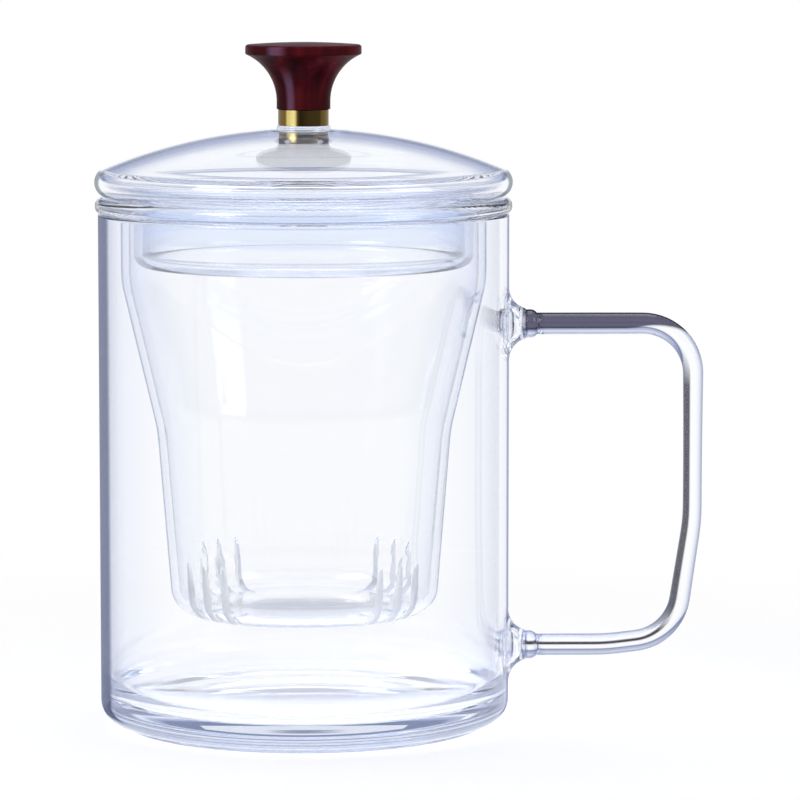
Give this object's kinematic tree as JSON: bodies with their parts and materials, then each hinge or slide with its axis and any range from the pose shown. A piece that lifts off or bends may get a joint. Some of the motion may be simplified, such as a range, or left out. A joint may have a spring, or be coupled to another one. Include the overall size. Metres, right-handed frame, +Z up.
{
  "type": "lidded tea mug with infuser",
  "caption": "Straight clear glass tea mug with a bent rod handle, a lift-out slitted glass infuser and a lift-off domed glass lid with a flared wooden knob.",
  "frame": {"origin": "centre of the mug's foot, on the mug's axis at table level", "axes": "+Z up along the mug's axis, +X towards the handle, +Y completes the right-handed frame"},
  "size_m": [0.1261, 0.0864, 0.1415],
  "materials": {
    "clear_glass": "fire-polished clear borosilicate glass",
    "brass": "polished brass",
    "red_wood": "dark red-brown hardwood, polished",
    "adhesive": "set clear epoxy"
  },
  "bodies": {
    "mug": {"mug_body": "clear_glass", "mug_handle": "clear_glass", "upper_weld_gather": "clear_glass", "lower_weld_gather": "clear_glass"},
    "infuser": {"infuser": "clear_glass"},
    "lid": {"lid_dome": "clear_glass", "lid_plug": "clear_glass", "lid_stub": "clear_glass", "brass_ferrule": "brass", "wooden_knob": "red_wood", "knob_adhesive": "adhesive"}
  },
  "joints": [
    {"name": "infuser_lift", "type": "slide", "parent": "mug", "child": "infuser", "axis": [0, 0, 1], "range_m": [0, 0.095]},
    {"name": "lid_lift", "type": "slide", "parent": "infuser", "child": "lid", "axis": [0, 0, 1], "range_m": [0, 0.04]}
  ]
}
